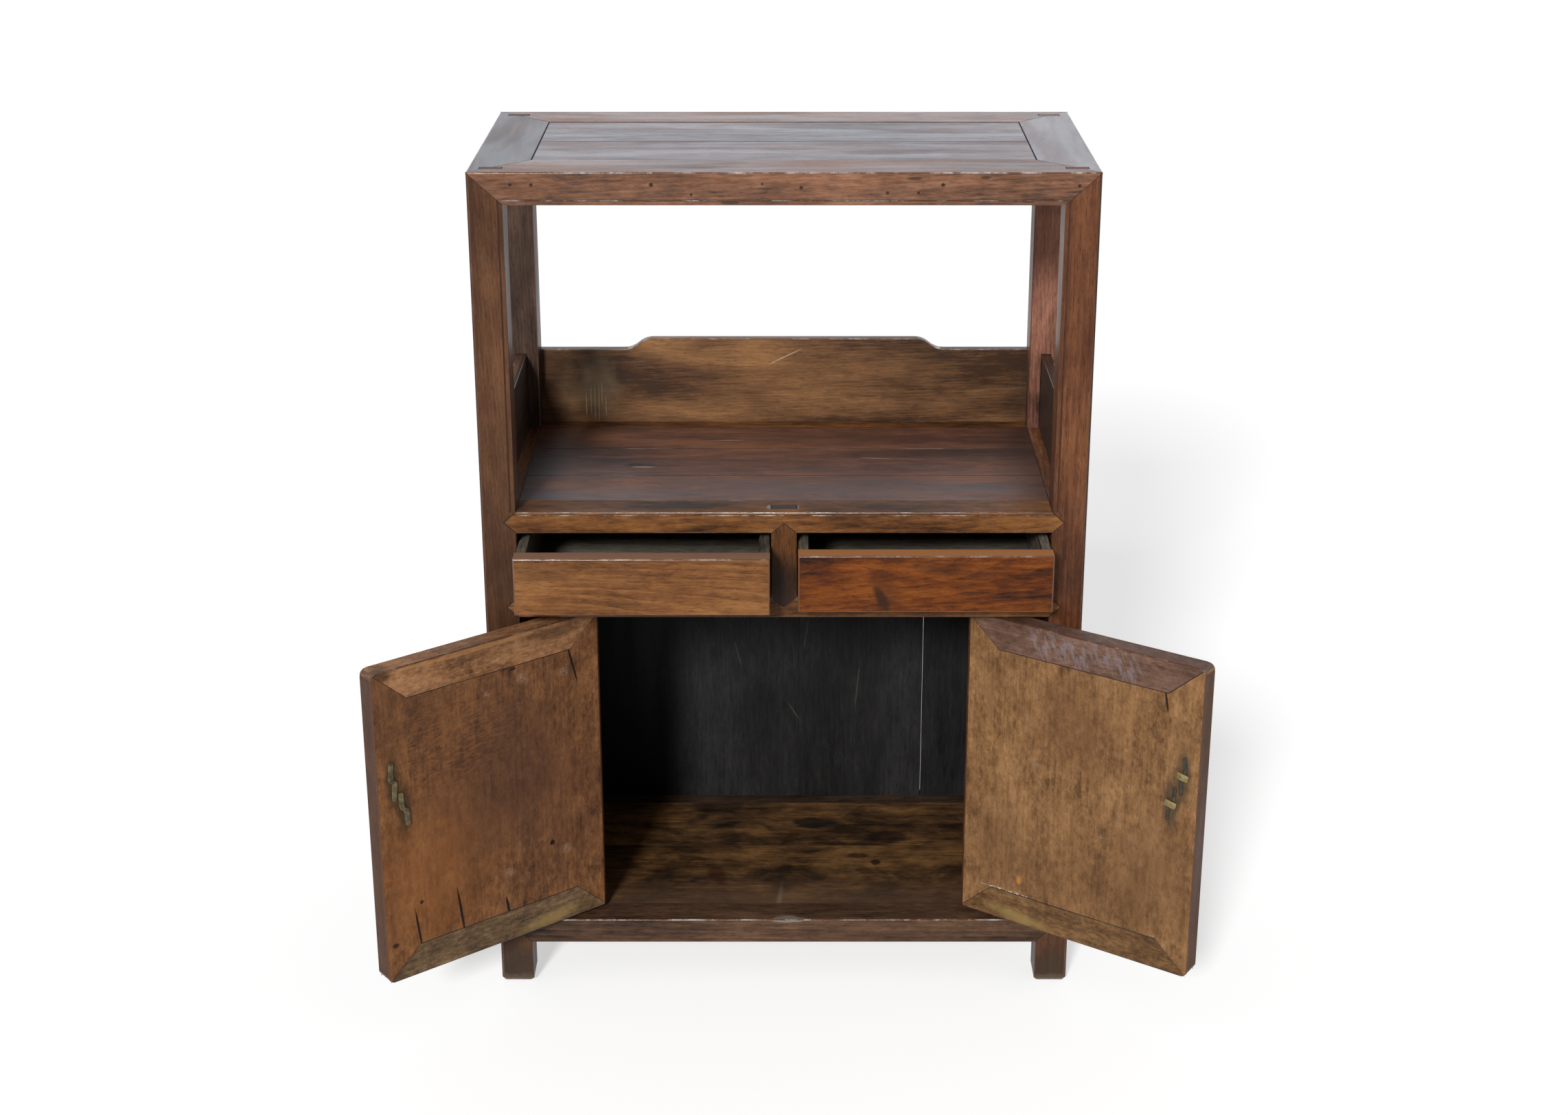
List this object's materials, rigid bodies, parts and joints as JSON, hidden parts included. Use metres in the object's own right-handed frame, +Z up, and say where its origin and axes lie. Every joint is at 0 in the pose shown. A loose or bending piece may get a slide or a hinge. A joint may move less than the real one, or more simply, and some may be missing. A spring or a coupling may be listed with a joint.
{
  "type": "chinese sideboard cabinet",
  "caption": "Small Chinese hardwood sideboard cabinet: open display bay with a scrolled gallery over drawers and a cupboard with pivot doors, standing part open.",
  "frame": {"origin": "on the floor, under the middle of the carcass", "axes": "+X to the right seen from the front, +Y to the back, +Z up"},
  "size_m": [0.961, 0.5061, 1.02],
  "materials": {
    "frame_wood": "worn lacquer",
    "board_wood": "glossy old lacquer",
    "door_wood": "dry lacquer",
    "inner_wood": "dark, unpolished",
    "drawer_wood": "raw, greyed",
    "brass": "tarnished"
  },
  "bodies": {
    "carcass": {"back_boards": "inner_wood", "bottom_rail_front": "frame_wood", "bottom_rail_left": "frame_wood", "bottom_rail_rear": "frame_wood", "bottom_rail_right": "frame_wood", "drawer_divider": "frame_wood", "drawer_rail": "frame_wood", "drawer_rear_rail": "inner_wood", "drawer_runner_centre": "inner_wood", "drawer_runner_left": "inner_wood", "drawer_runner_right": "inner_wood", "floor_batten": "inner_wood", "floor_boards": "inner_wood", "gallery_back": "board_wood", "gallery_left": "board_wood", "gallery_right": "board_wood", "post_front_left": "frame_wood", "post_front_right": "frame_wood", "post_rear_left": "frame_wood", "post_rear_right": "frame_wood", "shelf_batten": "inner_wood", "shelf_boards": "board_wood", "shelf_rail_front": "frame_wood", "shelf_rail_left": "frame_wood", "shelf_rail_rear": "frame_wood", "shelf_rail_right": "frame_wood", "side_panel_left": "inner_wood", "side_panel_right": "inner_wood", "top_batten": "inner_wood", "top_boards": "board_wood", "top_rail_front": "frame_wood", "top_rail_left": "frame_wood", "top_rail_rear": "frame_wood", "top_rail_right": "frame_wood"},
    "door_left": {"door_left_bottom_rail": "door_wood", "door_left_eyes": "brass", "door_left_free_stile": "door_wood", "door_left_hinge_stile": "door_wood", "door_left_panel": "door_wood", "door_left_pivots": "door_wood", "door_left_top_rail": "door_wood"},
    "door_right": {"door_right_bottom_rail": "door_wood", "door_right_eyes": "brass", "door_right_free_stile": "door_wood", "door_right_hinge_stile": "door_wood", "door_right_panel": "door_wood", "door_right_pivots": "door_wood", "door_right_top_rail": "door_wood"},
    "drawer_left": {"drawer_left_back": "drawer_wood", "drawer_left_bottom": "drawer_wood", "drawer_left_front": "frame_wood", "drawer_left_side_inner": "drawer_wood", "drawer_left_side_outer": "drawer_wood"},
    "drawer_right": {"drawer_right_back": "drawer_wood", "drawer_right_bottom": "drawer_wood", "drawer_right_front": "frame_wood", "drawer_right_side_inner": "drawer_wood", "drawer_right_side_outer": "drawer_wood"},
    "pull_left": {"door_left_pull": "brass"},
    "pull_right": {"door_right_pull": "brass"}
  },
  "joints": [
    {"name": "door_left_hinge", "type": "hinge", "parent": "carcass", "child": "door_left", "pos_m": [-0.2625, -0.161, 0.29], "axis": [0, 0, 1], "range_deg": [-6, 142]},
    {"name": "door_right_hinge", "type": "hinge", "parent": "carcass", "child": "door_right", "pos_m": [0.2625, -0.161, 0.29], "axis": [0, 0, -1], "range_deg": [-2, 146]},
    {"name": "drawer_left_slide", "type": "slide", "parent": "carcass", "child": "drawer_left", "axis": [0, -1, 0], "range_m": [-0.058, 0.182]},
    {"name": "drawer_right_slide", "type": "slide", "parent": "carcass", "child": "drawer_right", "axis": [0, -1, 0], "range_m": [-0.048, 0.192]},
    {"name": "pull_left_swing", "type": "hinge", "parent": "door_left", "child": "pull_left", "pos_m": [-0.45486, -0.28553, 0.312], "axis": [0.788, 0.6157, 0], "range_deg": [-5, 90]},
    {"name": "pull_right_swing", "type": "hinge", "parent": "door_right", "child": "pull_right", "pos_m": [0.46308, -0.27181, 0.312], "axis": [0.829, -0.5592, 0], "range_deg": [-5, 90]}
  ]
}
